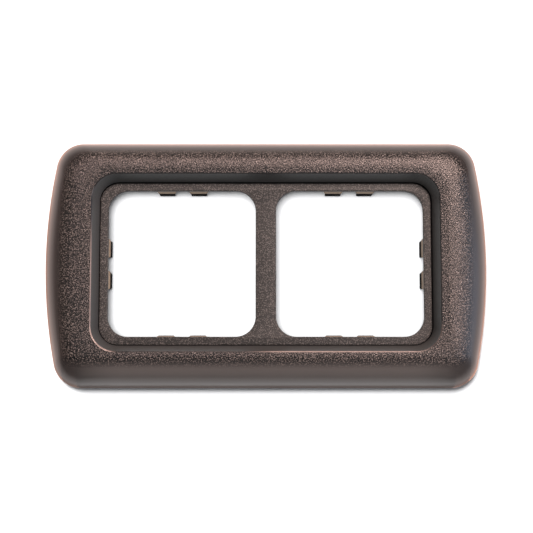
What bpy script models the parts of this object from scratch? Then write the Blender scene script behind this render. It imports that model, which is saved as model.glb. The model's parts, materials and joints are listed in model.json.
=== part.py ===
"""Two-bay wall plate cover: a clip-on outer rim over a module carrier with sprung fingers.

Frame: the cover lies on its back.  X runs along the long side, Y is up on the wall, Z points out
of the wall, and the origin is the middle of the back plane.  Every length below is in millimetres.
"""

import math

import bmesh
import bpy
from mathutils import Matrix

MM = 0.001
GAP = 0.3

# Whole cover.
COVER_HEIGHT = 12.0
OUTLINE_HALF = (68.75, 38.2)
OUTLINE_CORNER = 8.6
END_BULGE = 2.35
BULGE_HALF_SPAN = 27.0

# Rim: crest, lip and the step that drops into the recess.
CREST_HALF = (54.7, 28.7)
CREST_CORNER = 8.4
LIP_HALF = (53.1, 27.1)
LIP_CORNER = 7.4
LIP_ROUND = 0.4
LIP_TOP = COVER_HEIGHT - 0.12
STEP_HALF = (51.36, 25.28)
STEP_CORNER = 6.0
STEP_LOW = 5.3
STEP_THICK = 1.35
SIDE_POWER = 2.3
SIDE_STEPS = 12
FOOT_LAND = 0.5
FOOT_ROUND = 0.25
RIM_THICK = 2.1
INSIDE_CREST_HALF = (55.6, 29.5)
INSIDE_STEPS = 8
RIB_THICK = 1.0
RIB_LOW = 5.8
RIB_BITE = 0.5
END_RIB_Y = (-13.0, 13.0)
LONG_RIB_X = (-46.0, -17.0, 17.0, 46.0)

# Pry notch in the foot of the right-hand end.
PRY_NOTCH_Y = -4.45
PRY_NOTCH_WIDTH = 1.0
PRY_NOTCH_HEIGHT = 0.8

# Carrier: front panel, wall behind its edge, shelf under the rim, skirt and base flange.
PANEL_FRONT = 7.0
PANEL_THICK = 1.6
PANEL_HALF = (STEP_HALF[0] - GAP, STEP_HALF[1] - GAP)
PANEL_CORNER = STEP_CORNER - GAP
PANEL_LEDGE = 0.2
EDGE_WALL = 1.2
SHELF_TOP = STEP_LOW - GAP
SHELF_THICK = 1.6
SKIRT_HALF = (57.2, 30.0)
SKIRT_CORNER = 9.0
SKIRT_THICK = 1.5
FLANGE_HALF = (63.5, 33.0)
FLANGE_CORNER = 8.0
FLANGE_THICK = 2.0
BAR_RIB_THICK = 1.6
BAR_RIB_LOW = 1.6
OVERLAP = 0.5

# Module bays and their snap fingers.
BAY_PITCH = 51.8
BAY_HALF = (22.75, 22.57)
BAY_CORNER = 6.2
FINGER_PITCH = 9.9
FINGER_ROOT_WIDTH = 5.7
FINGER_TIP_WIDTH = 4.9
FINGER_TOP = PANEL_FRONT - PANEL_THICK - GAP
FINGER_RAMP_END = 3.4
FINGER_TIP = 0.4
FINGER_HINGE_INSET = 0.45
# Side view of a finger: distance outwards from the bay's edge, height above the back plane.
FINGER_PROFILE = [
    (0.0, FINGER_TOP),
    (-0.55, FINGER_RAMP_END),
    (-0.62, 0.75),
    (-0.35, FINGER_TIP),
    (0.4, FINGER_TIP),
    (0.45, 3.2),
    (0.95, FINGER_TOP),
]

# Rim clips: tongues under the crown that grip the outside of the carrier's skirt.
CLIP_WIDTH = 7.0
CLIP_TOP = 9.3
CLIP_HINGE_INSET = 1.2
# Side view of a clip: distance outwards from the skirt, height above the back plane.
CLIP_PROFILE = [
    (0.6, CLIP_TOP),
    (0.6, 4.7),
    (GAP, 4.0),
    (GAP, 3.4),
    (0.8, 2.6),
    (1.5, 2.6),
    (1.8, CLIP_TOP),
]
CLIP_LONG_SIDE_X = 34.0

# Screw holes in the base flange, under the rim.
SCREW_PLACES = [(60.3, 18.0), (60.3, -18.0), (-60.3, 18.0), (-60.3, -18.0)]
SCREW_HOLE_RADIUS = 1.9

# Points along each quarter of a plan outline.
END_STEPS = 5
CORNER_STEPS = 8
LONG_STEPS = 4
NONPLANAR_ANGLE = math.radians(0.05)


def clear_scene():
    for old in list(bpy.data.objects):
        bpy.data.objects.remove(old, do_unlink=True)


def new_collection(name):
    collection = bpy.data.collections.new(name)
    bpy.context.scene.collection.children.link(collection)
    return collection


def plastic(name, colour, roughness):
    material = bpy.data.materials.new(name)
    material.use_nodes = True
    shader = material.node_tree.nodes["Principled BSDF"]
    shader.inputs["Base Color"].default_value = (*colour, 1.0)
    shader.inputs["Roughness"].default_value = roughness
    shader.inputs["Metallic"].default_value = 0.0
    return material


def plan_outline(half, corner, bulge=0.0):
    """Closed outline in plan: straight long sides, round corners, ends that may bulge outwards."""
    half_x, half_y = half
    corner_y = half_y - corner
    if bulge > 0.0:
        end_radius = (BULGE_HALF_SPAN ** 2 + bulge ** 2) / (2 * bulge)
        end_centre = half_x - end_radius
        corner_x = end_centre + math.sqrt((end_radius - corner) ** 2 - corner_y ** 2)
        start = math.atan2(corner_y, corner_x - end_centre)
        end_points = [
            (end_centre + end_radius * math.cos(start * i / END_STEPS),
             end_radius * math.sin(start * i / END_STEPS))
            for i in range(END_STEPS)
        ]
    else:
        corner_x = half_x - corner
        start = 0.0
        end_points = [(half_x, corner_y * i / END_STEPS) for i in range(END_STEPS)]
    quarter = list(end_points)
    for i in range(CORNER_STEPS + 1):
        angle = start + (math.pi / 2 - start) * i / CORNER_STEPS
        quarter.append((corner_x + corner * math.cos(angle), corner_y + corner * math.sin(angle)))
    for i in range(1, LONG_STEPS + 1):
        quarter.append((corner_x * (1 - i / LONG_STEPS), half_y))
    top_left = [(-x, y) for x, y in reversed(quarter[:-1])]
    upper = quarter + top_left
    lower = [(x, -y) for x, y in reversed(upper[1:-1])]
    return upper + lower


def corner_points(outline):
    """The same outline without the points that lie between two others on a straight side."""
    kept = []
    for before, point, after in zip(outline[-1:] + outline[:-1], outline, outline[1:] + outline[:1]):
        across = ((point[0] - before[0]) * (after[1] - point[1])
                  - (point[1] - before[1]) * (after[0] - point[0]))
        if abs(across) > 1e-6:
            kept.append(point)
    return kept


def mix(low, high, share):
    return low + (high - low) * share


def mix_pair(low, high, share):
    return tuple(mix(a, b, share) for a, b in zip(low, high))


def side_share(step, steps, power):
    """Share of the run and of the height at one step up a superellipse-shaped side."""
    angle = math.pi / 2 * step / steps
    run = 1 - max(math.cos(angle), 0.0) ** (2 / power)
    rise = math.sin(angle) ** (2 / power)
    return run, rise


def shrink(half, amount):
    return (half[0] - amount, half[1] - amount)


def rim_sections():
    """Stations round the rim's section, each (half size, corner radius, end bulge, height)."""
    sections = [(shrink(OUTLINE_HALF, FOOT_ROUND), OUTLINE_CORNER - FOOT_ROUND, END_BULGE, 0.0)]
    for step in range(SIDE_STEPS + 1):
        run, rise = side_share(step, SIDE_STEPS, SIDE_POWER)
        sections.append((
            mix_pair(OUTLINE_HALF, CREST_HALF, run),
            mix(OUTLINE_CORNER, CREST_CORNER, run),
            END_BULGE * (1 - run),
            mix(FOOT_LAND, COVER_HEIGHT, rise),
        ))
    for turn in (0.0, 0.5, 1.0):
        angle = turn * math.radians(70)
        outwards = LIP_ROUND * (1 - math.sin(angle))
        drop = LIP_ROUND * (1 - math.cos(angle))
        sections.append((shrink(LIP_HALF, -outwards), LIP_CORNER + outwards, 0.0, LIP_TOP - drop))
    sections.append((STEP_HALF, STEP_CORNER, 0.0, PANEL_FRONT))
    sections.append((STEP_HALF, STEP_CORNER, 0.0, STEP_LOW))
    wall_outside = shrink(STEP_HALF, -STEP_THICK)
    sections.append((wall_outside, STEP_CORNER + STEP_THICK, 0.0, STEP_LOW))
    sections.append((wall_outside, STEP_CORNER + STEP_THICK, 0.0, PANEL_FRONT))
    inside_half = shrink(OUTLINE_HALF, RIM_THICK)
    inside_corner = OUTLINE_CORNER - RIM_THICK
    for step in range(INSIDE_STEPS, -1, -1):
        run, rise = side_share(step, INSIDE_STEPS, SIDE_POWER)
        sections.append((
            mix_pair(inside_half, INSIDE_CREST_HALF, run),
            mix(inside_corner, CREST_CORNER, run),
            END_BULGE * (1 - run),
            (COVER_HEIGHT - RIM_THICK) * rise,
        ))
    return sections


def loft_rings(name, sections):
    """Closed loft: each section is a ring, and the last ring joins the first."""
    mesh = bpy.data.meshes.new(name)
    shape = bmesh.new()
    rings = []
    for half, corner, bulge, height in sections:
        outline = plan_outline(half, corner, bulge)
        rings.append([shape.verts.new((x * MM, y * MM, height * MM)) for x, y in outline])
    for ring, following in zip(rings, rings[1:] + rings[:1]):
        count = len(ring)
        for i in range(count):
            j = (i + 1) % count
            shape.faces.new((ring[i], ring[j], following[j], following[i]))
    bmesh.ops.connect_verts_nonplanar(shape, angle_limit=NONPLANAR_ANGLE, faces=shape.faces)
    bmesh.ops.recalc_face_normals(shape, faces=shape.faces)
    shape.to_mesh(mesh)
    shape.free()
    return bpy.data.objects.new(name, mesh)


def flat_plate(name, outlines, low, high):
    """Plate between two heights: the first outline is its edge, the others are holes."""
    curve = bpy.data.curves.new(name, "CURVE")
    curve.dimensions = "2D"
    curve.fill_mode = "BOTH"
    curve.extrude = (high - low) / 2 * MM
    for outline in map(corner_points, outlines):
        spline = curve.splines.new("POLY")
        spline.points.add(len(outline) - 1)
        for point, (x, y) in zip(spline.points, outline):
            point.co = (x * MM, y * MM, 0.0, 1.0)
        spline.use_cyclic_u = True
    holder = bpy.data.objects.new(name + "_curve", curve)
    bpy.context.scene.collection.objects.link(holder)
    holder.location.z = (high + low) / 2 * MM
    return curve_to_mesh(holder, name)


def curve_to_mesh(holder, name):
    depsgraph = bpy.context.evaluated_depsgraph_get()
    mesh = bpy.data.meshes.new_from_object(holder.evaluated_get(depsgraph))
    mesh.name = name
    shape = bmesh.new()
    shape.from_mesh(mesh)
    bmesh.ops.remove_doubles(shape, verts=shape.verts, dist=1e-6)
    bmesh.ops.recalc_face_normals(shape, faces=shape.faces)
    shape.to_mesh(mesh)
    shape.free()
    piece = bpy.data.objects.new(name, mesh)
    piece.matrix_world = holder.matrix_world
    bpy.data.objects.remove(holder, do_unlink=True)
    return piece


def box(name, centre, size):
    mesh = bpy.data.meshes.new(name)
    shape = bmesh.new()
    bmesh.ops.create_cube(shape, size=1.0)
    bmesh.ops.scale(shape, vec=[length * MM for length in size], verts=shape.verts)
    shape.to_mesh(mesh)
    shape.free()
    piece = bpy.data.objects.new(name, mesh)
    piece.location = [length * MM for length in centre]
    return piece


def cylinder(name, centre, radius, height):
    mesh = bpy.data.meshes.new(name)
    shape = bmesh.new()
    bmesh.ops.create_cone(shape, cap_ends=True, segments=24, radius1=radius * MM,
                          radius2=radius * MM, depth=height * MM)
    shape.to_mesh(mesh)
    shape.free()
    piece = bpy.data.objects.new(name, mesh)
    piece.location = [length * MM for length in centre]
    return piece


def mark_as_tool(piece):
    piece.hide_render = True
    piece.display_type = "WIRE"


def combine(target, tool, operation, tools):
    """Join a tool solid to the target, or cut the target with it."""
    tools.objects.link(tool)
    mark_as_tool(tool)
    modifier = target.modifiers.new(tool.name, "BOOLEAN")
    modifier.operation = operation
    modifier.solver = "EXACT"
    modifier.object = tool


def finish(piece, material, collection, bevel=0.0):
    piece.data.materials.clear()
    piece.data.materials.append(material)
    piece.data.shade_smooth()
    piece.data.set_sharp_from_angle(angle=math.radians(32))
    if bevel > 0.0:
        modifier = piece.modifiers.new("soft_edges", "BEVEL")
        modifier.width = bevel * MM
        modifier.segments = 2
        modifier.limit_method = "ANGLE"
        modifier.angle_limit = math.radians(30)
    collection.objects.link(piece)


def rib_profile(axis):
    """Side view of a rim rib: distance from the middle of the cover, height above the back."""
    wall = STEP_HALF[axis] + STEP_THICK - RIB_BITE
    side = OUTLINE_HALF[axis] - RIM_THICK + RIB_BITE
    crest = INSIDE_CREST_HALF[axis]
    top = COVER_HEIGHT - RIM_THICK + RIB_BITE
    profile = [(wall, RIB_LOW), (wall, PANEL_FRONT)]
    for step in range(INSIDE_STEPS, 0, -1):
        run, rise = side_share(step, INSIDE_STEPS, SIDE_POWER)
        if top * rise > RIB_LOW:
            profile.append((mix(side, crest, run), top * rise))
    low_rise = RIB_LOW / top
    low_run = 1 - (1 - low_rise ** SIDE_POWER) ** (1 / SIDE_POWER)
    profile.append((mix(side, crest, low_run), RIB_LOW))
    return profile


def make_outer_rim(material, parts, tools):
    rim = loft_rings("outer_rim", rim_sections())
    end_rib = upright_plate("end_rib", rib_profile(0), (0.0, 0.0), RIB_THICK)
    long_rib = upright_plate("long_rib", rib_profile(1), (0.0, 0.0), RIB_THICK)
    turns = [(end_rib, 0, y) for y in END_RIB_Y] + [(end_rib, 180, y) for y in END_RIB_Y]
    turns += [(long_rib, 90, x) for x in LONG_RIB_X] + [(long_rib, 270, x) for x in LONG_RIB_X]
    ribs = bpy.data.collections.new("rim_ribs")
    tools.children.link(ribs)
    for number, (mesh, turn, offset) in enumerate(turns, 1):
        rib = bpy.data.objects.new(f"rim_rib_{number}", mesh)
        rib.rotation_euler.z = math.radians(turn)
        rib.location = (offset * MM, 0.0, 0.0) if mesh == long_rib else (0.0, offset * MM, 0.0)
        ribs.objects.link(rib)
        mark_as_tool(rib)
    joined = rim.modifiers.new("ribs", "BOOLEAN")
    joined.operation = "UNION"
    joined.solver = "EXACT"
    joined.operand_type = "COLLECTION"
    joined.collection = ribs
    notch = box("pry_notch", (OUTLINE_HALF[0], PRY_NOTCH_Y, 0.0),
                (2 * RIM_THICK + 1.0, PRY_NOTCH_WIDTH, 2 * PRY_NOTCH_HEIGHT))
    combine(rim, notch, "DIFFERENCE", tools)
    finish(rim, material, parts)
    return rim


def carrier_sections():
    """Stations round the hat-shaped ring that carries the panel, each at one height."""
    wall_outside = (shrink(PANEL_HALF, PANEL_LEDGE), PANEL_CORNER - PANEL_LEDGE)
    wall_inside = (shrink(PANEL_HALF, EDGE_WALL), PANEL_CORNER - EDGE_WALL)
    skirt_outside = (SKIRT_HALF, SKIRT_CORNER)
    skirt_inside = (shrink(SKIRT_HALF, SKIRT_THICK), SKIRT_CORNER - SKIRT_THICK)
    flange_edge = (FLANGE_HALF, FLANGE_CORNER)
    wall_top = PANEL_FRONT - PANEL_THICK + OVERLAP
    stations = [
        (wall_outside, wall_top),
        (wall_outside, SHELF_TOP),
        (skirt_outside, SHELF_TOP),
        (skirt_outside, FLANGE_THICK),
        (flange_edge, FLANGE_THICK),
        (flange_edge, 0.0),
        (skirt_inside, 0.0),
        (skirt_inside, SHELF_TOP - SHELF_THICK),
        (wall_inside, SHELF_TOP - SHELF_THICK),
        (wall_inside, wall_top),
    ]
    return [(half, corner, 0.0, height) for (half, corner), height in stations]


def make_module_carrier(material, parts, tools):
    left_bay = [(x - BAY_PITCH / 2, y) for x, y in plan_outline(BAY_HALF, BAY_CORNER)]
    right_bay = [(x + BAY_PITCH / 2, y) for x, y in plan_outline(BAY_HALF, BAY_CORNER)]
    panel_edge = plan_outline(PANEL_HALF, PANEL_CORNER)
    panel_back = PANEL_FRONT - PANEL_THICK
    carrier = flat_plate("module_carrier", [panel_edge, left_bay, right_bay],
                         panel_back, PANEL_FRONT)
    combine(carrier, loft_rings("carrier_ring", carrier_sections()), "UNION", tools)
    rib_height = panel_back + OVERLAP - BAR_RIB_LOW
    bar_rib = box("centre_bar_rib", (0.0, 0.0, BAR_RIB_LOW + rib_height / 2),
                  (BAR_RIB_THICK, 2 * PANEL_HALF[1] - EDGE_WALL, rib_height))
    combine(carrier, bar_rib, "UNION", tools)
    for number, (x, y) in enumerate(SCREW_PLACES, 1):
        hole = cylinder(f"screw_hole_{number}", (x, y, FLANGE_THICK / 2),
                        SCREW_HOLE_RADIUS, 2 * FLANGE_THICK)
        combine(carrier, hole, "DIFFERENCE", tools)
    finish(carrier, material, parts)
    return carrier


def upright_plate(name, profile, origin, width):
    """Upright plate with a side view given as (distance outwards, height), drawn about an origin.

    Local X points outwards, local Z up, and the plate's width runs along local Y.
    """
    curve = bpy.data.curves.new(name, "CURVE")
    curve.dimensions = "2D"
    curve.fill_mode = "BOTH"
    curve.extrude = width / 2 * MM
    spline = curve.splines.new("POLY")
    spline.points.add(len(profile) - 1)
    for point, (outwards, height) in zip(spline.points, profile):
        point.co = ((outwards - origin[0]) * MM, (height - origin[1]) * MM, 0.0, 1.0)
    spline.use_cyclic_u = True
    holder = bpy.data.objects.new(name + "_curve", curve)
    bpy.context.scene.collection.objects.link(holder)
    solid = curve_to_mesh(holder, name)
    mesh = solid.data
    bpy.data.objects.remove(solid, do_unlink=True)
    mesh.transform(Matrix.Rotation(math.pi / 2, 4, "X"))
    return mesh


def finger_mesh():
    """Snap finger about its hinge line, narrowing from its root to the end of its ramp."""
    origin = (FINGER_HINGE_INSET, FINGER_TOP)
    mesh = upright_plate("snap_finger", FINGER_PROFILE, origin, FINGER_ROOT_WIDTH)
    for vertex in mesh.vertices:
        depth = -vertex.co.z / MM
        share = min(depth / (FINGER_TOP - FINGER_RAMP_END), 1.0)
        vertex.co.y *= mix(FINGER_ROOT_WIDTH, FINGER_TIP_WIDTH, share) / FINGER_ROOT_WIDTH
    return mesh


def finger_places():
    """Name, hinge position and turn about Z of every snap finger, none on the centre bar."""
    places = []
    for bay, side in (("left", -1), ("right", 1)):
        centre_x = side * BAY_PITCH / 2
        for number, offset in enumerate((-FINGER_PITCH / 2, FINGER_PITCH / 2), 1):
            reach_x = BAY_HALF[0] + FINGER_HINGE_INSET
            reach_y = BAY_HALF[1] + FINGER_HINGE_INSET
            places.append((f"{bay}_bay_top_finger_{number}", (centre_x + offset, reach_y), 90))
            places.append((f"{bay}_bay_bottom_finger_{number}", (centre_x + offset, -reach_y), 270))
            end_turn = 0 if side > 0 else 180
            places.append((f"{bay}_bay_end_finger_{number}",
                           (centre_x + side * reach_x, offset), end_turn))
    return places


def clip_places():
    """Name, hinge position and turn about Z of every rim clip."""
    reach_x = SKIRT_HALF[0] + CLIP_HINGE_INSET
    reach_y = SKIRT_HALF[1] + CLIP_HINGE_INSET
    return [
        ("rim_clip_right_end", (reach_x, 0.0), 0),
        ("rim_clip_left_end", (-reach_x, 0.0), 180),
        ("rim_clip_top_right", (CLIP_LONG_SIDE_X, reach_y), 90),
        ("rim_clip_top_left", (-CLIP_LONG_SIDE_X, reach_y), 90),
        ("rim_clip_bottom_right", (CLIP_LONG_SIDE_X, -reach_y), 270),
        ("rim_clip_bottom_left", (-CLIP_LONG_SIDE_X, -reach_y), 270),
    ]


def place_tongues(places, mesh, height, material, parts, bevel, parent=None):
    for name, (x, y), turn in places:
        tongue = bpy.data.objects.new(name, mesh.copy())
        tongue.data.name = name
        tongue.location = (x * MM, y * MM, height * MM)
        tongue.rotation_euler.z = math.radians(turn)
        tongue.parent = parent
        finish(tongue, material, parts, bevel)


def main():
    clear_scene()
    parts = new_collection("wall_plate_cover")
    tools = new_collection("shaping_tools")
    rim_plastic = plastic("rim_plastic", (0.105, 0.086, 0.08), 0.5)
    carrier_plastic = plastic("carrier_plastic", (0.115, 0.093, 0.088), 0.55)
    finger_plastic = plastic("finger_plastic", (0.13, 0.1, 0.085), 0.4)

    rim = make_outer_rim(rim_plastic, parts, tools)
    make_module_carrier(carrier_plastic, parts, tools)
    finger = finger_mesh()
    place_tongues(finger_places(), finger, FINGER_TOP, finger_plastic, parts, bevel=0.12)
    clip = upright_plate("rim_clip", CLIP_PROFILE, (CLIP_HINGE_INSET, CLIP_TOP), CLIP_WIDTH)
    place_tongues(clip_places(), clip, CLIP_TOP, rim_plastic, parts, bevel=0.15, parent=rim)
    bpy.data.meshes.remove(finger)
    bpy.data.meshes.remove(clip)


main()
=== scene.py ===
"""Looks of the two-bay wall plate cover: a grained rim snapped over a module carrier.

Lengths are in millimetres in the shape functions and become metres in the meshes. The shells are
finer copies of the CAD solids, drawn inside their boxes, with rounded edges and smooth sides.
"""

import json
import math

import bmesh
import bpy
from mathutils import Matrix, Vector


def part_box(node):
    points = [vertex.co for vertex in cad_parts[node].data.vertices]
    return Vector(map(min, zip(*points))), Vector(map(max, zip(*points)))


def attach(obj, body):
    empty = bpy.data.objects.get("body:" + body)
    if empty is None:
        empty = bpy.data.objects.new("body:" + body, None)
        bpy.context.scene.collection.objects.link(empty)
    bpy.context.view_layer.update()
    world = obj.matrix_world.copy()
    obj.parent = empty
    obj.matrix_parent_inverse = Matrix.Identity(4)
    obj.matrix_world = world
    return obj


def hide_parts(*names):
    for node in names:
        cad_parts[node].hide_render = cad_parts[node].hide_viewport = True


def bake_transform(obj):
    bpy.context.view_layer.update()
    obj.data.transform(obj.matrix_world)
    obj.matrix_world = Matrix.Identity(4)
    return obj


MM = 0.001
SHARP_DEGREES = 35.0
BEVEL_DEGREES = 30.0

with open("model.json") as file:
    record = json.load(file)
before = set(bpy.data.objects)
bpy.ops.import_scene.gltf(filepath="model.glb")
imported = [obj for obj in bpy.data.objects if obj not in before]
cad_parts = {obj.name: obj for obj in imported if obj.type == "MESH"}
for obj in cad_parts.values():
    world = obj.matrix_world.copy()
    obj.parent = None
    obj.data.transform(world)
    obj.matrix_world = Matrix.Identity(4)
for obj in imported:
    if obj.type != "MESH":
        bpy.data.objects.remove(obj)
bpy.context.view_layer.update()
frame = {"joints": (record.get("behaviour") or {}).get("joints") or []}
_, high_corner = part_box("outer_rim")
_, panel_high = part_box("module_carrier")

# Rim, from the outside in.
COVER_HEIGHT = high_corner[2] / MM
OUTLINE_HALF = (high_corner[0] / MM, high_corner[1] / MM)
OUTLINE_CORNER = 8.6
END_BULGE = 2.35
BULGE_HALF_SPAN = 27.0
CREST_HALF = (OUTLINE_HALF[0] - 14.05, OUTLINE_HALF[1] - 9.5)
CREST_CORNER = 8.4
LIP_HALF = (OUTLINE_HALF[0] - 15.65, OUTLINE_HALF[1] - 11.1)
LIP_CORNER = 7.4
LIP_ROUND = 0.4
LIP_TOP = COVER_HEIGHT - 0.12
STEP_HALF = (OUTLINE_HALF[0] - 17.39, OUTLINE_HALF[1] - 12.92)
STEP_CORNER = 6.0
STEP_LOW = 5.3
STEP_THICK = 1.35
SIDE_POWER = 2.3
FOOT_LAND = 0.5
FOOT_ROUND = 0.25
SEAM_ROUND = 0.12
SIDE_STEPS = 36
WALL_STEPS = 8
INSIDE_STEPS = 20
RIM_THICK = 2.1
INSIDE_CREST_HALF = (CREST_HALF[0] + 0.9, CREST_HALF[1] + 0.8)
RIB_THICK = 1.0
RIB_LOW = 5.8
RIB_BITE = 0.5
RIB_STEPS = 12
RIB_EDGE_ROUND = 0.12
END_RIB_Y = (-13.0, 13.0)
LONG_RIB_X = (-46.0, -17.0, 17.0, 46.0)
PRY_NOTCH_Y = -4.45
PRY_NOTCH_Z = 0.2
PRY_NOTCH_RADIUS = 0.5

# Carrier.
PANEL_FRONT = panel_high[2] / MM
PANEL_THICK = 1.6
PANEL_HALF = (STEP_HALF[0] - 0.3, STEP_HALF[1] - 0.3)
PANEL_CORNER = STEP_CORNER - 0.3
PANEL_EDGE_ROUND = 0.18
PANEL_OFFSET = (-0.12, -0.12)
PANEL_LEDGE = 0.2
EDGE_WALL = 1.2
SHELF_TOP = 5.0
SHELF_THICK = 1.6
SKIRT_HALF = (57.2, 30.0)
SKIRT_CORNER = 9.0
SKIRT_THICK = 1.5
SKIRT_LOW = 0.3
SKIRT_EDGE_ROUND = 0.3
RING_BITE = 0.5
FLANGE_HALF = (panel_high[0] / MM, panel_high[1] / MM)
FLANGE_CORNER = 8.0
FLANGE_THICK = 2.0
FLANGE_EDGE_ROUND = 0.25
BAR_RIB_THICK = 1.6
BAR_RIB_LOW = 1.6
BAR_RIB_BITE = 0.4
BAR_RIB_EDGE_ROUND = 0.2
EDGE_NORMAL_Z = 0.8
SEAM_REACH = 1.0
SEAM_NORMAL_Z = 0.5
SCREW_PLACES = [(60.3, 18.0), (60.3, -18.0), (-60.3, 18.0), (-60.3, -18.0)]
SCREW_HOLE_RADIUS = 1.9

# Bays.
BAY_PITCH = 51.8
BAY_HALF = (22.75, 22.57)
BAY_CORNER = 6.2

# Fingers and clips: their two faces as (height, distance outwards) from the top down, the heights
# of their rows, and how far the joint stands outside the tongue's line.
TONGUE_CORNER_STEPS = 4
TONGUE_CORNER_SHARE = 0.45
FINGER_TOP = 5.1
FINGER_RAMP_END = 3.4
# Painted shade covers each finger below this height.
FINGER_SHADE_TOP = 3.9
FINGER_CHAMFER_TOP = 0.75
FINGER_CHAMFER_SLOPES = (0.4, 0.8)
FINGER_ROOT_WIDTH = 6.1
FINGER_TIP_WIDTH = 4.9
FINGER_INNER = [(5.9, 0.12), (FINGER_TOP, 0.0), (FINGER_RAMP_END, -0.55),
                (FINGER_CHAMFER_TOP, -0.62), (0.4, -0.45)]
FINGER_OUTER = [(5.9, 0.95), (FINGER_TOP, 0.95), (3.2, 0.45), (0.4, 0.4)]
FINGER_HEIGHTS = [5.9, 5.6, 5.3, FINGER_TOP, 4.8, 4.5, 4.2, FINGER_SHADE_TOP, 3.65, 3.5,
                  FINGER_RAMP_END, 3.3, 3.1, 2.6, 2.0, 1.4, 1.0, FINGER_CHAMFER_TOP, 0.6, 0.5, 0.42]
FINGER_INSET = 0.45
FINGER_EDGE_ROUND = 0.22
CLIP_TOP = 9.3
CLIP_WIDTH = 7.0
CLIP_INNER = [(10.1, 0.3), (CLIP_TOP, 0.6), (4.7, 0.6), (4.0, 0.3), (3.4, 0.3), (2.6, 0.8)]
CLIP_OUTER = [(10.1, 2.2), (CLIP_TOP, 1.8), (2.6, 1.5)]
CLIP_HEIGHTS = [10.0, 9.7, CLIP_TOP, 9.0, 8.6, 8.2, 7.6, 6.8, 6.0, 5.2, 4.7, 4.5, 4.25, 4.0, 3.8,
                3.6, 3.4, 3.2, 3.0, 2.8, 2.62]
CLIP_INSET = 1.2
CLIP_EDGE_ROUND = 0.2

# Rim finish: grain on the crown, which ends between these heights and, towards the front, between
# these Y places; satin sides below it, the front side painted lighter as painted light; matt
# towards the foot, where the sides take a tone that paints shade along the front's foot.
GRAIN_Z = (9.4, 11.4)
GRAIN_Y = (-32.8, -28.9)
MATT_AND_SHADE_Z = (4.0, 7.5)
MATT_ADDED = 0.55
SIDE_BUMP = 0.03
SIDE_ROUGHNESS = 0.32
SIDE_TONE = (0.024, 0.021, 0.02)
# Painted light: the front side's tone, much lighter than the other sides'. Painted shade: the
# foot's tone, darker than the front's.
FRONT_PAINTED_LIGHT_TONE = (0.085, 0.076, 0.071)
FOOT_PAINTED_SHADE_TONE = (0.034, 0.028, 0.025)
# The front's painted light fades out between these distances from the middle. The front's fainter
# sheen rises again in two steps, the first over this much of the corner.
FRONT_PAINTED_LIGHT_END_X = (44.0, 64.0)
FRONT_TURN = 4.6

# Lip: a painted highlight, light along the lower right half and round the lower left corner.
LIP_HIGHLIGHT_TONE = (0.42, 0.31, 0.27)
LIP_HIGHLIGHT_PEAK = 1.2
LIP_HIGHLIGHT_GRAIN_EDGE = (0.4, 0.6)
LIP_HIGHLIGHT_PATCH_EDGE = (0.35, 0.6)
LIP_HIGHLIGHT_PATCH_LEAST = 0.65
LIP_HIGHLIGHT_RIGHT_START_X = (-8.0, 6.0)
LIP_HIGHLIGHT_RIGHT_SHARE = 0.6
LIP_HIGHLIGHT_RIGHT_END_X = (44.0, 50.0)
LIP_HIGHLIGHT_RIGHT_END_SHARE = 0.25
LIP_HIGHLIGHT_LEFT_X = (-49.0, -45.0)
LIP_HIGHLIGHT_LOW_Y = (-22.0, -17.0)
LIP_HIGHLIGHT_UP_LEFT_Y = (2.0, 16.0)
LIP_HIGHLIGHT_UP_LEFT_SHARE = 0.4

# Plastics: grain sizes as noise scales per metre, grain depths in millimetres.
CROWN_GRAIN_SCALE = 2600.0
CROWN_GRAIN_DEPTH = 0.14
CROWN_ROUGHNESS = 0.17
PANEL_GRAIN_SCALE = 2900.0
PANEL_GRAIN_DEPTH = 0.09
SMOOTH_SCALE = 2500.0
SMOOTH_DEPTH = 0.004
FINE_GRAIN_RATIO = 3.1
FINE_GRAIN_SHARE = 0.15
FINE_GRAIN_ROUGHNESS = 0.08
GRAIN_EDGE = (0.52, 0.6)
TONE_EDGE = (0.1, 0.95)
BLOTCH_SCALE = 45.0
BLOTCH_EDGE = (0.3, 0.7)
BLOTCH_SHARE = 0.15
BLOTCH_ROUGHNESS = 0.04
BLOTCH_DARKENING = 0.94
SHEEN_ROUGHNESS = 0.35
SHEEN_TINT = (1.0, 0.57, 0.42, 1.0)
PLAIN_TINT = (1.0, 1.0, 1.0, 1.0)
WARM_TINT = (1.0, 0.9, 0.87, 1.0)
DARK_GRAIN = (0.0, 0.0012, 0.0013)
LIGHT_GRAIN = (0.16, 0.13, 0.116)

# Camera: looks down at the cover from a little below its middle. Place in metres.
CAMERA_PLACE = (0.0, -0.04113, 0.3947)
CAMERA_TILT = math.radians(6.16)
CAMERA_LENS = 85.48
CAMERA_SENSOR = 36.0
CAMERA_SHIFT = (0.00117, -0.0102)
CAMERA_CLIP = (0.01, 10.0)

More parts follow.
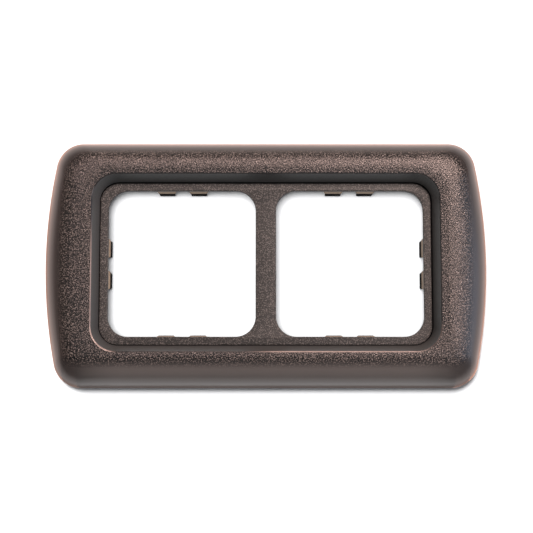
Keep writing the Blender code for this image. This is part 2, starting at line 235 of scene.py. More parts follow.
# Lights: name, place and size in metres, radiance, colour. The sun has a width in degrees and a
# strength instead.
ROOM_LIGHT = ("overhead_softbox", (0.05, 0.0, 1.3), (1.5, 1.3), 0.45, (0.95, 0.97, 1.0))
STUDIO_LIGHTS = [
    ("warm_key", (0.25, 0.66, 0.95), (0.9, 0.2), 16.5, (1.0, 0.79, 0.73)),
    ("side_key", (0.56, 0.0, 0.95), (0.2, 0.5), 8.5, (1.0, 0.82, 0.77)),
    ("right_corner_key", (0.47, 0.5, 0.95), (0.22, 0.22), 32.0, (1.0, 0.77, 0.68)),
    ("left_corner_key", (-0.42, 0.46, 0.9), (0.15, 0.15), 26.0, (1.0, 0.78, 0.76)),
    ("left_fill", (-0.6, 0.1, 0.9), (0.6, 0.8), 0.45, (1.0, 0.95, 0.92)),
    ("cool_fill", (0.95, -0.05, 0.35), (0.5, 1.3), 2.3, (0.58, 0.76, 1.0)),
    ("back_fill", (0.0, 0.95, 0.16), (0.9, 0.2), 2.1, (1.0, 0.82, 0.72)),
    ("front_fill", (0.0, -0.9, 0.6), (1.2, 0.8), 0.6, (1.0, 0.95, 0.92)),
]
FLOOR_SUN = ("floor_sun", (-0.2, 0.42, 1.15), 23.0, 4.7)
BAY_LIGHT = ("bay_light", (-0.12, 0.08, 1.15), (0.6, 0.6), 17.0, (1.0, 1.0, 1.0))
WORLD_COLOUR = (0.93, 0.95, 1.0, 1.0)
WORLD_STRENGTH = 0.15

# Floors: name, half size and height.
FLOORS = [("pale_floor", (5000.0, 5000.0), -0.2), ("bay_floor", (60.0, 32.0), -0.1)]
FLOOR_TONES = ((0.88, 0.88, 0.885), (0.9, 0.9, 0.905))
FLOOR_BLOTCH_SCALE = 3.0
FLOOR_ROUGHNESS = 0.9
FLOOR_SPECULAR = 0.1


# ---------------------------------------------------------------- shapes


def mix(low, high, share):
    return low + (high - low) * share


def mix_pair(low, high, share):
    return tuple(mix(a, b, share) for a, b in zip(low, high))


def shrink(half, amount):
    return (half[0] - amount, half[1] - amount)


def plan_outline(half, corner, bulge=0.0, end_steps=12, corner_steps=20, long_steps=24):
    """Closed outline in plan: straight long sides, round corners, ends that may bulge outwards."""
    half_x, half_y = half
    corner_y = half_y - corner
    start = 0.0
    corner_x = half_x - corner
    end_points = [(half_x, corner_y * i / end_steps) for i in range(end_steps)]
    if bulge > 0.0:
        radius = (BULGE_HALF_SPAN ** 2 + bulge ** 2) / (2 * bulge)
        centre = half_x - radius
        corner_x = centre + math.sqrt((radius - corner) ** 2 - corner_y ** 2)
        start = math.atan2(corner_y, corner_x - centre)
        turns = [start * i / end_steps for i in range(end_steps)]
        end_points = [(centre + radius * math.cos(t), radius * math.sin(t)) for t in turns]
    quarter = list(end_points)
    for i in range(corner_steps + 1):
        angle = mix(start, math.pi / 2, i / corner_steps)
        quarter.append((corner_x + corner * math.cos(angle), corner_y + corner * math.sin(angle)))
    for i in range(1, long_steps + 1):
        quarter.append((corner_x * (1 - i / long_steps), half_y))
    upper = quarter + [(-x, y) for x, y in reversed(quarter[:-1])]
    return upper + [(x, -y) for x, y in reversed(upper[1:-1])]


def side_share(share, power=SIDE_POWER):
    """Share of the run and of the height at a share of the way up a superellipse-shaped side."""
    angle = math.pi / 2 * share
    run = 1 - max(math.cos(angle), 0.0) ** (2 / power)
    rise = math.sin(angle) ** (2 / power)
    return run, rise


def quarter_round(radius, steps, start_degrees, end_degrees):
    """Offsets (sideways, down) from the square corner of an edge with that rounding."""
    turns = [math.radians(mix(start_degrees, end_degrees, i / steps)) for i in range(steps + 1)]
    return [(radius * (1 - math.sin(t)), radius * (1 - math.cos(t))) for t in turns]


def loft_rings(name, sections, bands=()):
    """Closed loft of plan outlines, each (half size, corner radius, end bulge, height).

    Each number in bands is the band where the object's next material starts.
    """
    shape = bmesh.new()
    rings = []
    for half, corner, bulge, height in sections:
        outline = plan_outline(half, corner, bulge)
        rings.append([shape.verts.new((x * MM, y * MM, height * MM)) for x, y in outline])
    for band, (ring, following) in enumerate(zip(rings, rings[1:] + rings[:1])):
        count = len(ring)
        for i in range(count):
            j = (i + 1) % count
            face = shape.faces.new((ring[i], ring[j], following[j], following[i]))
            face.material_index = sum(band >= first for first in bands)
    bmesh.ops.recalc_face_normals(shape, faces=shape.faces)
    return mesh_object(name, shape)


def mesh_object(name, shape):
    mesh = bpy.data.meshes.new(name)
    shape.to_mesh(mesh)
    shape.free()
    mesh.shade_smooth()
    mesh.set_sharp_from_angle(angle=math.radians(SHARP_DEGREES))
    piece = bpy.data.objects.new(name, mesh)
    bpy.context.scene.collection.objects.link(piece)
    return piece


def without_straight_points(outline):
    kept = []
    earlier, later = outline[-1:] + outline[:-1], outline[1:] + outline[:1]
    for before, point, after in zip(earlier, outline, later):
        across = ((point[0] - before[0]) * (after[1] - point[1])
                  - (point[1] - before[1]) * (after[0] - point[0]))
        if abs(across) > 1e-6:
            kept.append(point)
    return kept


def flat_plate(name, edge, holes, low, high, edge_round):
    """Flat plate with rounded edges, as a filled 2D curve: the holes run the other way round."""
    curve = bpy.data.curves.new(name, "CURVE")
    curve.dimensions = "2D"
    curve.fill_mode = "BOTH"
    curve.extrude = ((high - low) / 2 - edge_round) * MM
    curve.bevel_depth = edge_round * MM
    curve.bevel_resolution = 3
    curve.offset = -edge_round * MM
    for outline in [edge] + [hole[::-1] for hole in holes]:
        points = without_straight_points(outline)
        spline = curve.splines.new("POLY")
        spline.points.add(len(points) - 1)
        for point, (x, y) in zip(spline.points, points):
            point.co = (x * MM, y * MM, 0.0, 1.0)
        spline.use_cyclic_u = True
    holder = bpy.data.objects.new(name + "_curve", curve)
    bpy.context.scene.collection.objects.link(holder)
    depsgraph = bpy.context.evaluated_depsgraph_get()
    mesh = bpy.data.meshes.new_from_object(holder.evaluated_get(depsgraph))
    bpy.data.objects.remove(holder, do_unlink=True)
    mesh.transform(Matrix.Translation((0.0, 0.0, (high + low) / 2 * MM)))
    shape = bmesh.new()
    shape.from_mesh(mesh)
    bpy.data.meshes.remove(mesh)
    bmesh.ops.remove_doubles(shape, verts=shape.verts, dist=1e-6)
    bmesh.ops.recalc_face_normals(shape, faces=shape.faces)
    return mesh_object(name, shape)


def circle(centre, radius, steps=40):
    turns = [2 * math.pi * i / steps for i in range(steps)]
    return [(centre[0] + radius * math.cos(t), centre[1] + radius * math.sin(t)) for t in turns]


# ---------------------------------------------------------------- rim


def rim_sections():
    """Sections from the foot up the side, over the lip, down the wall and back inside.

    Returned with the numbers of the bands where the lip, the wall, the seam and the inside start.
    """
    sections = []
    for sideways, up in quarter_round(FOOT_ROUND, 4, 0.0, 90.0):
        sections.append((shrink(OUTLINE_HALF, sideways), OUTLINE_CORNER - sideways, END_BULGE, up))
    for step in range(SIDE_STEPS + 1):
        run, rise = side_share(step / SIDE_STEPS)
        sections.append((
            mix_pair(OUTLINE_HALF, CREST_HALF, run),
            mix(OUTLINE_CORNER, CREST_CORNER, run),
            END_BULGE * (1 - run),
            mix(FOOT_LAND, COVER_HEIGHT, rise),
        ))
    lip_band = len(sections) - 1
    for sideways, down in quarter_round(LIP_ROUND, 6, 0.0, 70.0):
        sections.append((shrink(LIP_HALF, -sideways), LIP_CORNER + sideways, 0.0, LIP_TOP - down))
    wall_top = LIP_TOP - LIP_ROUND
    wall_band = len(sections) - 1
    for step in range(1, WALL_STEPS + 1):
        share = step / WALL_STEPS
        sections.append((
            mix_pair(LIP_HALF, STEP_HALF, share),
            mix(LIP_CORNER, STEP_CORNER, share),
            0.0,
            mix(wall_top, PANEL_FRONT, share),
        ))
    seam_band = len(sections) - 1
    for sideways, up in reversed(quarter_round(SEAM_ROUND, 3, 0.0, 90.0)):
        sections.append((shrink(STEP_HALF, -sideways), STEP_CORNER + sideways, 0.0,
                         STEP_LOW + up))
    inside_band = len(sections) - 1
    wall_outside = shrink(STEP_HALF, -STEP_THICK)
    sections.append((wall_outside, STEP_CORNER + STEP_THICK, 0.0, STEP_LOW))
    sections.append((wall_outside, STEP_CORNER + STEP_THICK, 0.0, PANEL_FRONT))
    inside_half = shrink(OUTLINE_HALF, RIM_THICK)
    for step in range(INSIDE_STEPS, -1, -1):
        run, rise = side_share(step / INSIDE_STEPS)
        sections.append((
            mix_pair(inside_half, INSIDE_CREST_HALF, run),
            mix(OUTLINE_CORNER - RIM_THICK, CREST_CORNER, run),
            END_BULGE * (1 - run),
            (COVER_HEIGHT - RIM_THICK) * rise,
        ))
    return sections, (lip_band + 1, wall_band, seam_band, inside_band)


def rib_profile(axis):
    """Side view of a rim rib: distance from the middle of the cover, height above the back."""
    wall = STEP_HALF[axis] + STEP_THICK - RIB_BITE
    side = OUTLINE_HALF[axis] - RIM_THICK + RIB_BITE
    crest = INSIDE_CREST_HALF[axis]
    top = COVER_HEIGHT - RIM_THICK + RIB_BITE
    profile = [(wall, RIB_LOW), (wall, PANEL_FRONT)]
    for step in range(RIB_STEPS, 0, -1):
        run, rise = side_share(step / RIB_STEPS)
        if top * rise > RIB_LOW:
            profile.append((mix(side, crest, run), top * rise))
    low_run = 1 - (1 - (RIB_LOW / top) ** SIDE_POWER) ** (1 / SIDE_POWER)
    profile.append((mix(side, crest, low_run), RIB_LOW))
    return profile


def upright_plate(name, profile, width, edge_round, turn, place):
    """Upright plate with a side view given as (distance outwards, height), turned about Z."""
    shape = bmesh.new()
    sides = []
    for end in (-0.5, 0.5):
        sides.append([shape.verts.new((x * MM, end * width * MM, z * MM)) for x, z in profile])
    count = len(profile)
    shape.faces.new(sides[0])
    shape.faces.new(sides[1][::-1])
    for i in range(count):
        j = (i + 1) % count
        shape.faces.new((sides[0][j], sides[0][i], sides[1][i], sides[1][j]))
    bmesh.ops.recalc_face_normals(shape, faces=shape.faces)
    edges = [e for e in shape.edges if e.calc_face_angle(0.0) > math.radians(BEVEL_DEGREES)]
    bmesh.ops.bevel(shape, geom=edges, offset=edge_round * MM, segments=2, profile=0.5,
                    affect="EDGES")
    spin = Matrix.Translation([v * MM for v in place]) @ Matrix.Rotation(turn, 4, "Z")
    bmesh.ops.transform(shape, matrix=spin, verts=shape.verts)
    return mesh_object(name, shape)


def build_rim(materials):
    shell = loft_rings("rim_shell", *rim_sections())
    names = ["rim", "lip", "wall", "shade", "smooth", "front", "turn"]
    dress(shell, "rim_plastic", *[materials[name] for name in names])
    straight_half = (OUTLINE_HALF[0] - OUTLINE_CORNER - END_BULGE) * MM
    for face in shell.data.polygons:
        if face.material_index == names.index("rim") and face.center.y < GRAIN_Y[1] * MM:
            if abs(face.center.x) < straight_half:
                face.material_index = names.index("front")
            elif abs(face.center.x) < straight_half + FRONT_TURN * MM:
                face.material_index = names.index("turn")
    cut_pry_notch(shell)
    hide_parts("outer_rim")
    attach(shell, "rim")

    ribs = [(0, angle, (0.0, y, 0.0)) for angle in (0, 180) for y in END_RIB_Y]
    ribs += [(1, angle, (x, 0.0, 0.0)) for angle in (90, 270) for x in LONG_RIB_X]
    for number, (axis, angle, place) in enumerate(ribs, 1):
        rib = upright_plate(f"rim_rib_{number}", rib_profile(axis), RIB_THICK, RIB_EDGE_ROUND,
                            math.radians(angle), place)
        dress(rib, "rim_plastic", materials["smooth"])
        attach(rib, "rim")


def cut_pry_notch(shell):
    cutter = bmesh.new()
    bmesh.ops.create_cone(cutter, cap_ends=True, segments=24, radius1=PRY_NOTCH_RADIUS * MM,
                          radius2=PRY_NOTCH_RADIUS * MM, depth=3 * RIM_THICK * MM)
    lie_down = (Matrix.Translation((OUTLINE_HALF[0] * MM, PRY_NOTCH_Y * MM, PRY_NOTCH_Z * MM))
                @ Matrix.Rotation(math.pi / 2, 4, "Y"))
    bmesh.ops.transform(cutter, matrix=lie_down, verts=cutter.verts)
    notch = mesh_object("notch_cutter", cutter)
    cut = shell.modifiers.new("pry_notch", "BOOLEAN")
    cut.operation = "DIFFERENCE"
    cut.object = notch
    depsgraph = bpy.context.evaluated_depsgraph_get()
    shell.data = bpy.data.meshes.new_from_object(shell.evaluated_get(depsgraph))
    shell.modifiers.clear()
    bpy.data.objects.remove(notch, do_unlink=True)
    shell.data.shade_smooth()
    shell.data.set_sharp_from_angle(angle=math.radians(SHARP_DEGREES))


# ---------------------------------------------------------------- carrier


def ring_sections():
    """The hat-shaped ring behind the panel's edge: wall, shelf and skirt."""
    wall_outside = (shrink(PANEL_HALF, PANEL_LEDGE), PANEL_CORNER - PANEL_LEDGE)
    wall_inside = (shrink(PANEL_HALF, EDGE_WALL), PANEL_CORNER - EDGE_WALL)
    skirt_outside = (SKIRT_HALF, SKIRT_CORNER)
    skirt_inside = (shrink(SKIRT_HALF, SKIRT_THICK), SKIRT_CORNER - SKIRT_THICK)
    wall_top = PANEL_FRONT - PANEL_THICK + RING_BITE
    shelf_low = SHELF_TOP - SHELF_THICK
    stations = [(wall_outside, wall_top), (wall_outside, SHELF_TOP)]
    for sideways, down in quarter_round(SKIRT_EDGE_ROUND, 3, 0.0, 90.0):
        stations.append(((shrink(SKIRT_HALF, sideways), SKIRT_CORNER - sideways),
                         SHELF_TOP - down))
    stations += [
        (skirt_outside, SKIRT_LOW),
        (skirt_inside, SKIRT_LOW),
        (skirt_inside, shelf_low),
        (wall_inside, shelf_low),
        (wall_inside, wall_top),
    ]
    return [(half, corner, 0.0, height) for (half, corner), height in stations]


def build_carrier(materials):
    bays = []
    for side in (-1, 1):
        bay = plan_outline(BAY_HALF, BAY_CORNER)
        bays.append([(x + side * BAY_PITCH / 2, y) for x, y in bay])
    panel_edge = [(x + PANEL_OFFSET[0], y + PANEL_OFFSET[1])
                  for x, y in plan_outline(PANEL_HALF, PANEL_CORNER)]
    panel = flat_plate("panel_plate", panel_edge, bays,
                       PANEL_FRONT - PANEL_THICK, PANEL_FRONT, PANEL_EDGE_ROUND)
    ring = loft_rings("carrier_ring", ring_sections())
    inside = plan_outline(shrink(SKIRT_HALF, SKIRT_THICK), SKIRT_CORNER - SKIRT_THICK)
    screw_holes = [circle(place, SCREW_HOLE_RADIUS) for place in SCREW_PLACES]
    flange = flat_plate("base_flange", plan_outline(FLANGE_HALF, FLANGE_CORNER),
                        [inside] + screw_holes, 0.0, FLANGE_THICK, FLANGE_EDGE_ROUND)
    half_length = PANEL_HALF[1] - EDGE_WALL / 2
    bar_rib_top = PANEL_FRONT - PANEL_THICK + BAR_RIB_BITE
    bar_profile = [
        (-half_length, BAR_RIB_LOW),
        (half_length, BAR_RIB_LOW),
        (half_length, bar_rib_top),
        (-half_length, bar_rib_top),
    ]
    bar_rib = upright_plate("centre_bar_rib", bar_profile, BAR_RIB_THICK, BAR_RIB_EDGE_ROUND,
                            math.pi / 2, (0.0, 0.0, 0.0))
    names = ["panel", "edge", "shade"]
    dress(panel, "carrier_plastic", *[materials[name] for name in names])
    # Painted shade: the panel's edge faces take a darker, duller plastic, and those in the seam the
    # near-black shade.
    for face in panel.data.polygons:
        reach = max(abs(face.center.x) - PANEL_HALF[0] * MM,
                    abs(face.center.y) - PANEL_HALF[1] * MM)
        in_seam = reach > -SEAM_REACH * MM and abs(face.normal.z) < SEAM_NORMAL_Z
        if abs(face.normal.z) < EDGE_NORMAL_Z:
            face.material_index = names.index("shade" if in_seam else "edge")
    for piece in (ring, flange, bar_rib):
        dress(piece, "carrier_plastic", materials["smooth"])
    for piece in (panel, ring, flange, bar_rib):
        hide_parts("module_carrier")
        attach(piece, "carrier")


# ---------------------------------------------------------------- fingers and clips


def tongue(name, rows, turn, place, edge_round, shade_top=None):
    """Tongue that hangs from a root: each row is (height, inner face, outer face, width).

    Inner and outer faces are distances outwards from the root's line, and the rows run from the
    top down, close enough together for the tongue to bend. Faces below the top of the painted
    shade take the second material, a painted shade.
    """
    shape = bmesh.new()
    rings = []
    for height, inner, outer, width in rows:
        corners = []
        for across, along in rounded_rectangle(inner, outer, width, edge_round):
            corners.append(shape.verts.new((across * MM, along * MM, height * MM)))
        rings.append(corners)
    count = len(rings[0])
    for ring, following in zip(rings, rings[1:]):
        for i in range(count):
            j = (i + 1) % count
            shape.faces.new((ring[i], ring[j], following[j], following[i]))
    shape.faces.new(rings[0])
    shape.faces.new(rings[-1][::-1])
    if shade_top is not None:
        for face in shape.faces:
            face.material_index = int(face.calc_center_median().z < shade_top * MM)
    bmesh.ops.recalc_face_normals(shape, faces=shape.faces)
    spin = Matrix.Translation([v * MM for v in place]) @ Matrix.Rotation(turn, 4, "Z")
    bmesh.ops.transform(shape, matrix=spin, verts=shape.verts)
    return mesh_object(name, shape)


def rounded_rectangle(inner, outer, width, radius):
    """Rectangle from inner to outer and across the width, with round corners, anticlockwise."""
    radius = min(radius, (outer - inner) * TONGUE_CORNER_SHARE, width * TONGUE_CORNER_SHARE)
    points = []
    centres = [(outer - radius, width / 2 - radius, 0), (inner + radius, width / 2 - radius, 90),
               (inner + radius, radius - width / 2, 180), (outer - radius, radius - width / 2, 270)]
    for centre_x, centre_y, start in centres:
        for step in range(TONGUE_CORNER_STEPS + 1):
            angle = math.radians(start + 90.0 * step / TONGUE_CORNER_STEPS)
            points.append((centre_x + radius * math.cos(angle),
                           centre_y + radius * math.sin(angle)))
    return points


def finger_rows():
    """Rows of a snap finger: root in the panel, ramp leaning into the bay, steep nose."""
    rows = []
    for height in FINGER_HEIGHTS:
        share = min(max((FINGER_TOP - height) / (FINGER_TOP - FINGER_RAMP_END), 0.0), 1.0)
        width = mix(FINGER_ROOT_WIDTH, FINGER_TIP_WIDTH, share)
        inner = along_line(FINGER_INNER, height)
        outer = along_line(FINGER_OUTER, height)
        outer_cut, width_cut = [max(FINGER_CHAMFER_TOP - height, 0.0) * slope
                                for slope in FINGER_CHAMFER_SLOPES]
        rows.append((height, inner, outer - outer_cut, width - width_cut))
    return rows


def clip_rows():
    """Rows of a rim clip: thick root under the rim, straight spring, hook turned inwards."""
    rows = []
    for height in CLIP_HEIGHTS:
        width = CLIP_WIDTH + max(height - CLIP_TOP, 0.0)
        rows.append((height, along_line(CLIP_INNER, height), along_line(CLIP_OUTER, height), width))
    return rows


def along_line(points, height):
    """Value at a height on a line of (height, value) points that run from the top down."""
    for (high, first), (low, second) in zip(points, points[1:]):
        if low <= height <= high:
            return mix(first, second, (high - height) / (high - low))
    return points[-1][1]


def build_tongue(joint, rows, inset, edge_round, slot, materials, shade_top=None):
    """Tongue that replaces the joint's node, placed by the joint."""
    node = joint["child"].removesuffix("_body")
    root_x, root_y, root_z = [value / MM for value in joint["pos_m"]]
    axis_x, axis_y, _ = joint["axis"]
    outwards = (-axis_y, axis_x)
    turn = math.atan2(outwards[1], outwards[0])
    place = (root_x - inset * outwards[0], root_y - inset * outwards[1], 0.0)
    piece = tongue(node + "_tongue", rows, turn, place, edge_round, shade_top)
    dress(piece, slot, *materials)
    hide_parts(node)
    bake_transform(piece)


def build_fingers(materials):
    for joint in frame["joints"]:
        if "_bay_" in joint["name"]:
            # Fingers: tan painted light on their ramps, painted shade below.
            build_tongue(joint, finger_rows(), FINGER_INSET, FINGER_EDGE_ROUND,
                         "finger_plastic", [materials["finger"], materials["shade"]],
                         FINGER_SHADE_TOP)


def build_clips(materials):
    for joint in frame["joints"]:
        if joint["name"].startswith("rim_flex_"):
            build_tongue(joint, clip_rows(), CLIP_INSET, CLIP_EDGE_ROUND,
                         "rim_plastic", [materials["smooth"]])


# ---------------------------------------------------------------- materials


def dress(piece, slot, *materials):
    for material in materials:
        piece.data.materials.append(material)


def node(tree, kind, **inputs):
    made = tree.nodes.new(kind)
    for name, value in inputs.items():
        made.inputs[name.replace("_", " ")].default_value = value
    return made


def noise(tree, place, scale, detail=3.0, roughness=0.6):
    made = node(tree, "ShaderNodeTexNoise", Scale=scale, Detail=detail, Roughness=roughness)
    tree.links.new(place, made.inputs["Vector"])
    return made.outputs["Fac"]


def ramp(tree, value, low, high, low_colour, high_colour):
    made = tree.nodes.new("ShaderNodeValToRGB")
    made.color_ramp.elements[0].position = low
    made.color_ramp.elements[1].position = high
    made.color_ramp.elements[0].color = (*low_colour, 1.0)
    made.color_ramp.elements[1].color = (*high_colour, 1.0)
    tree.links.new(value, made.inputs["Fac"])
    return made.outputs["Color"]


def map_range(tree, value, from_low, from_high, to_low, to_high):
    made = node(tree, "ShaderNodeMapRange")
    made.inputs["From Min"].default_value = from_low
    made.inputs["From Max"].default_value = from_high
    made.inputs["To Min"].default_value = to_low
    made.inputs["To Max"].default_value = to_high
    made.interpolation_type = "SMOOTHSTEP"
    tree.links.new(value, made.inputs["Value"])
    return made.outputs["Result"]


def arithmetic(tree, operation, first, second):
    made = tree.nodes.new("ShaderNodeMath")
    made.operation = operation
    for socket, value in zip(made.inputs, (first, second)):
        if isinstance(value, (int, float)):
            socket.default_value = value
        else:
            tree.links.new(value, socket)
    return made.outputs["Value"]


def plus(tree, first, second):
    return arithmetic(tree, "ADD", first, second)


def times(tree, first, second):
    return arithmetic(tree, "MULTIPLY", first, second)


def rising(tree, value, span):
    """0 below a span given in millimetres, 1 above it."""
    return map_range(tree, value, span[0] * MM, span[1] * MM, 0.0, 1.0)


def falling(tree, value, span):
    """1 below a span given in millimetres, 0 above it."""
    return map_range(tree, value, span[0] * MM, span[1] * MM, 1.0, 0.0)


def mixed(tree, share, first, second):
    made = tree.nodes.new("ShaderNodeMix")
    made.data_type = "RGBA"
    sockets = [socket for socket in made.inputs if socket.enabled]
    for socket, value in zip(sockets, (share, first, second)):
        tree.links.new(value, socket)
    return next(socket for socket in made.outputs if socket.enabled)


def places_of(tree, place):
    parts = tree.nodes.new("ShaderNodeSeparateXYZ")
    tree.links.new(place, parts.inputs["Vector"])
    return parts.outputs


def moulded_plastic(name, dark, light, grain_scale, grain_depth, roughness, specular=0.5,
                    specular_tint=PLAIN_TINT, sheen=0.0, smooth_sides=False, rubbed=False):
    """Moulded plastic with a spark grain, colour mottling and, on the lip, a painted highlight.

    With smooth sides the grain stays on the crown, and the sides below it are satin, with painted
    light on the front side and painted shade at its foot. With a lip highlight the plastic is
    painted light in places along the lip, a painted highlight.
    """
    material = bpy.data.materials.new(name)
    material.use_nodes = True
    tree = material.node_tree
    shader = tree.nodes["Principled BSDF"]
    shader.inputs["Specular IOR Level"].default_value = specular
    shader.inputs["Specular Tint"].default_value = specular_tint
    shader.inputs["Sheen Weight"].default_value = sheen
    shader.inputs["Sheen Roughness"].default_value = SHEEN_ROUGHNESS
    shader.inputs["Sheen Tint"].default_value = SHEEN_TINT
    place = tree.nodes.new("ShaderNodeTexCoord").outputs["Object"]

    coarse = noise(tree, place, grain_scale, detail=2.0, roughness=0.6)
    fine = noise(tree, place, grain_scale * FINE_GRAIN_RATIO, detail=2.0, roughness=0.5)
    blotch = noise(tree, place, BLOTCH_SCALE, detail=3.0, roughness=0.55)
    grain = plus(tree, times(tree, coarse, 1.0 - FINE_GRAIN_SHARE),
                 times(tree, fine, FINE_GRAIN_SHARE))
    bump = node(tree, "ShaderNodeBump", Distance=grain_depth * MM)
    tree.links.new(grain, bump.inputs["Height"])
    tree.links.new(bump.outputs["Normal"], shader.inputs["Normal"])

    toned = plus(tree, map_range(tree, grain, *GRAIN_EDGE, 0.0, 1.0 - BLOTCH_SHARE),
                 times(tree, blotch, BLOTCH_SHARE))
    colour = ramp(tree, toned, *TONE_EDGE, dark, light)
    rough = plus(tree, blotched_roughness(tree, blotch, roughness),
                 times(tree, fine, FINE_GRAIN_ROUGHNESS))
    if smooth_sides:
        colour, rough = with_smooth_sides(tree, place, blotch, bump, colour, rough)
    # Painted highlight: the colour turns light in places along the lip.
    if rubbed:
        highlight_peak_tone = [value * LIP_HIGHLIGHT_PEAK for value in LIP_HIGHLIGHT_TONE]
        highlight_colour = ramp(tree, grain, *LIP_HIGHLIGHT_GRAIN_EDGE, LIP_HIGHLIGHT_TONE, highlight_peak_tone)
        colour = mixed(tree, lip_highlight_share(tree, place, blotch), colour, highlight_colour)
    tree.links.new(colour, shader.inputs["Base Color"])
    tree.links.new(rough, shader.inputs["Roughness"])
    return material


def blotched_roughness(tree, blotch, roughness):
    return map_range(tree, blotch, *BLOTCH_EDGE, roughness - BLOTCH_ROUGHNESS, roughness)


def with_smooth_sides(tree, place, blotch, bump, colour, rough):
    """Colour and roughness of the crown, with satin sides below it that are matt at the foot.

    The front side is painted lighter, a painted light, and towards the foot the sides take a tone
    that paints shade along the front's foot.
    """
    places = places_of(tree, place)
    behind_front = rising(tree, places["Y"], GRAIN_Y)
    on_crown = times(tree, rising(tree, places["Z"], GRAIN_Z), behind_front)
    tree.links.new(map_range(tree, on_crown, 0.0, 1.0, SIDE_BUMP, 1.0), bump.inputs["Strength"])
    from_middle = arithmetic(tree, "ABSOLUTE", places["X"], 0.0)
    # Painted light: the front side below the grain takes the lighter front tone.
    painted_front_light = times(tree, arithmetic(tree, "SUBTRACT", 1.0, behind_front),
                     falling(tree, from_middle, FRONT_PAINTED_LIGHT_END_X))
    # Matt towards the foot, where the tone also paints shade along the front's foot.
    foot_matt_and_shade = falling(tree, places["Z"], MATT_AND_SHADE_Z)
    side, front, foot = [
        ramp(tree, blotch, *BLOTCH_EDGE, [value * BLOTCH_DARKENING for value in tone], tone)
        for tone in (SIDE_TONE, FRONT_PAINTED_LIGHT_TONE, FOOT_PAINTED_SHADE_TONE)]
    below = mixed(tree, foot_matt_and_shade, mixed(tree, painted_front_light, side, front), foot)
    side_rough = blotched_roughness(tree, blotch, SIDE_ROUGHNESS)
    crown_change = times(tree, arithmetic(tree, "SUBTRACT", rough, side_rough), on_crown)
    rough = plus(tree, side_rough, crown_change)
    rough = plus(tree, rough, times(tree, foot_matt_and_shade, MATT_ADDED))
    return mixed(tree, on_crown, below, colour), rough


def lip_highlight_share(tree, place, blotch):
    """Share of the lip's painted highlight: along its lower right half, and at the lower left
    corner.
    """
    places = places_of(tree, place)
    low = falling(tree, places["Y"], LIP_HIGHLIGHT_LOW_Y)
    right = times(tree, rising(tree, places["X"], LIP_HIGHLIGHT_RIGHT_START_X), LIP_HIGHLIGHT_RIGHT_SHARE)
    right_end = [value * MM for value in LIP_HIGHLIGHT_RIGHT_END_X]
    right = times(tree, right, map_range(tree, places["X"], *right_end, 1.0, LIP_HIGHLIGHT_RIGHT_END_SHARE))
    up_left = times(tree, falling(tree, places["Y"], LIP_HIGHLIGHT_UP_LEFT_Y), LIP_HIGHLIGHT_UP_LEFT_SHARE)
    left = times(tree, falling(tree, places["X"], LIP_HIGHLIGHT_LEFT_X),
                 arithmetic(tree, "MAXIMUM", low, up_left))
    patchy = map_range(tree, blotch, *LIP_HIGHLIGHT_PATCH_EDGE, LIP_HIGHLIGHT_PATCH_LEAST, 1.0)
    return times(tree, arithmetic(tree, "MAXIMUM", left, times(tree, right, low)), patchy)


def crown_plastic(name, specular, sheen):
    return moulded_plastic(name, DARK_GRAIN, LIGHT_GRAIN, CROWN_GRAIN_SCALE, CROWN_GRAIN_DEPTH,
                           CROWN_ROUGHNESS, specular, WARM_TINT, sheen, smooth_sides=True)


def smooth_plastic(name, dark, light, roughness, specular, **other):
    return moulded_plastic(name, dark, light, SMOOTH_SCALE, SMOOTH_DEPTH, roughness, specular,
                           **other)


def make_materials():
    return {
        "rim": crown_plastic("grained_rim_plastic", 0.5, 1.0),
        # Lip: near black, a painted dark line of shade, with a painted highlight in places.
        "lip": smooth_plastic("rubbed_lip_plastic", (0.008, 0.007, 0.007), (0.012, 0.011, 0.01),
                              0.13, 0.5, specular_tint=WARM_TINT, rubbed=True),
        "front": crown_plastic("grained_front_plastic", 0.35, 0.1),
        "turn": crown_plastic("grained_turn_plastic", 0.42, 0.45),
        "panel": moulded_plastic("fine_grain_panel_plastic", (0.016, 0.014, 0.012),
                                 (0.116, 0.1, 0.091), PANEL_GRAIN_SCALE, PANEL_GRAIN_DEPTH,
                                 0.42, 0.4),
        "wall": smooth_plastic("smooth_wall_plastic", (0.05, 0.049, 0.047), (0.058, 0.057, 0.055),
                               0.42, 0.2),
        # Window edges: darker than the panel, a painted shade.
        "edge": smooth_plastic("window_edge_painted_shade_plastic", (0.024, 0.021, 0.02), (0.03, 0.027, 0.026),
                               0.6, 0.15),
        "smooth": smooth_plastic("smooth_moulded_plastic", (0.024, 0.022, 0.021),
                                 (0.034, 0.031, 0.03), 0.35, 0.5),
        # Fingers: a light tan, painted light standing for the lit faces of their ramps.
        "finger": smooth_plastic("finger_plastic", (0.19, 0.125, 0.075), (0.25, 0.17, 0.1),
                                 0.5, 0.3),
        "shade": smooth_plastic("shaded_edge_plastic", (0.003, 0.0028, 0.003),
                                (0.006, 0.0055, 0.006), 0.85, 0.02),
    }


# ---------------------------------------------------------------- stage


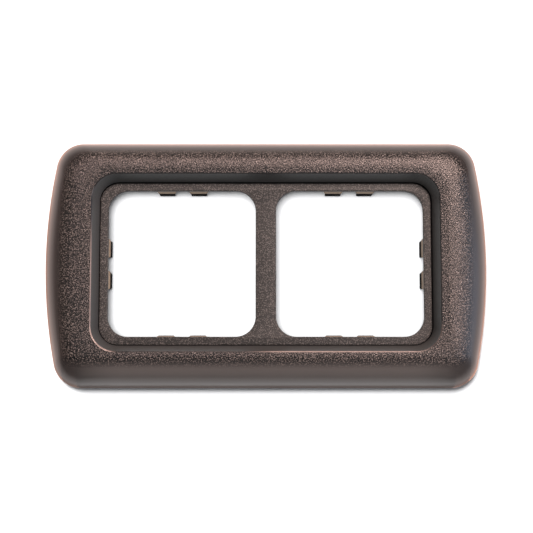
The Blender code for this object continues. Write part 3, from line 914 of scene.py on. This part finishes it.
def build_floors():
    """Pale floor, and its part under the cover, which has a light of its own."""
    material = bpy.data.materials.new("pale_floor")
    material.use_nodes = True
    tree = material.node_tree
    shader = tree.nodes["Principled BSDF"]
    shader.inputs["Roughness"].default_value = FLOOR_ROUGHNESS
    shader.inputs["Specular IOR Level"].default_value = FLOOR_SPECULAR
    place = tree.nodes.new("ShaderNodeTexCoord").outputs["Object"]
    tint = ramp(tree, noise(tree, place, FLOOR_BLOTCH_SCALE), *BLOTCH_EDGE, *FLOOR_TONES)
    tree.links.new(tint, shader.inputs["Base Color"])
    floors = []
    for name, half, height in FLOORS:
        shape = bmesh.new()
        bmesh.ops.create_grid(shape, x_segments=2, y_segments=2, size=MM)
        bmesh.ops.scale(shape, vec=(*half, 1.0), verts=shape.verts)
        floor = mesh_object(name, shape)
        floor.location.z = height * MM
        floor.data.materials.append(material)
        floors.append(floor)
    return floors


def light_group(name, floors, link_state):
    """Collection that tells a light to reach those floors alone, or everything else."""
    group = bpy.data.collections.new(name)
    for floor in floors:
        group.objects.link(floor)
    for member in group.collection_objects:
        member.light_linking.link_state = link_state
    return group


def hang(light, place, receivers):
    """Put a light in its place, aimed at the cover; with no receivers it reaches everything."""
    holder = bpy.data.objects.new(light.name, light)
    bpy.context.scene.collection.objects.link(holder)
    holder.location = place
    holder.rotation_euler = Vector(place).to_track_quat("Z", "Y").to_euler()
    holder.light_linking.receiver_collection = receivers


def area_light(name, place, size, radiance, colour, receivers):
    """Rectangular soft light with a given radiance."""
    light = bpy.data.lights.new(name, "AREA")
    light.shape = "RECTANGLE"
    light.size, light.size_y = size
    light.energy = radiance * math.pi * size[0] * size[1]
    light.color = colour
    hang(light, place, receivers)


def distant_light(name, place, width, strength, receivers):
    """Distant soft light, so many degrees wide, that whitens the floor evenly out to its edge."""
    light = bpy.data.lights.new(name, "SUN")
    light.angle = math.radians(width)
    light.energy = strength
    hang(light, place, receivers)


def build_lights(floors):
    """Studio lights on the cover, and a light for each floor that whitens it and casts shadows."""
    not_floor = light_group("not_floor", floors, "EXCLUDE")
    for name, place, size, radiance, colour in STUDIO_LIGHTS:
        area_light(name, place, size, radiance, colour, not_floor)
    area_light(*ROOM_LIGHT, None)
    only_pale, only_bay = [light_group("only_" + floor.name, [floor], "INCLUDE")
                           for floor in floors]
    distant_light(*FLOOR_SUN, only_pale)
    area_light(*BAY_LIGHT, only_bay)
    world = bpy.data.worlds.new("studio")
    world.use_nodes = True
    background = world.node_tree.nodes["Background"]
    background.inputs["Color"].default_value = WORLD_COLOUR
    background.inputs["Strength"].default_value = WORLD_STRENGTH
    bpy.context.scene.world = world


def build_camera():
    camera = bpy.data.cameras.new("camera")
    camera.lens = CAMERA_LENS
    camera.sensor_width = CAMERA_SENSOR
    camera.shift_x, camera.shift_y = CAMERA_SHIFT
    camera.clip_start, camera.clip_end = CAMERA_CLIP
    holder = bpy.data.objects.new("camera", camera)
    bpy.context.scene.collection.objects.link(holder)
    holder.location = CAMERA_PLACE
    holder.rotation_euler = (CAMERA_TILT, 0.0, 0.0)
    bpy.context.scene.camera = holder


def main():
    materials = make_materials()
    build_rim(materials)
    build_carrier(materials)
    build_fingers(materials)
    build_clips(materials)
    build_lights(build_floors())
    build_camera()
    bpy.context.scene.view_settings.view_transform = "Standard"


main()
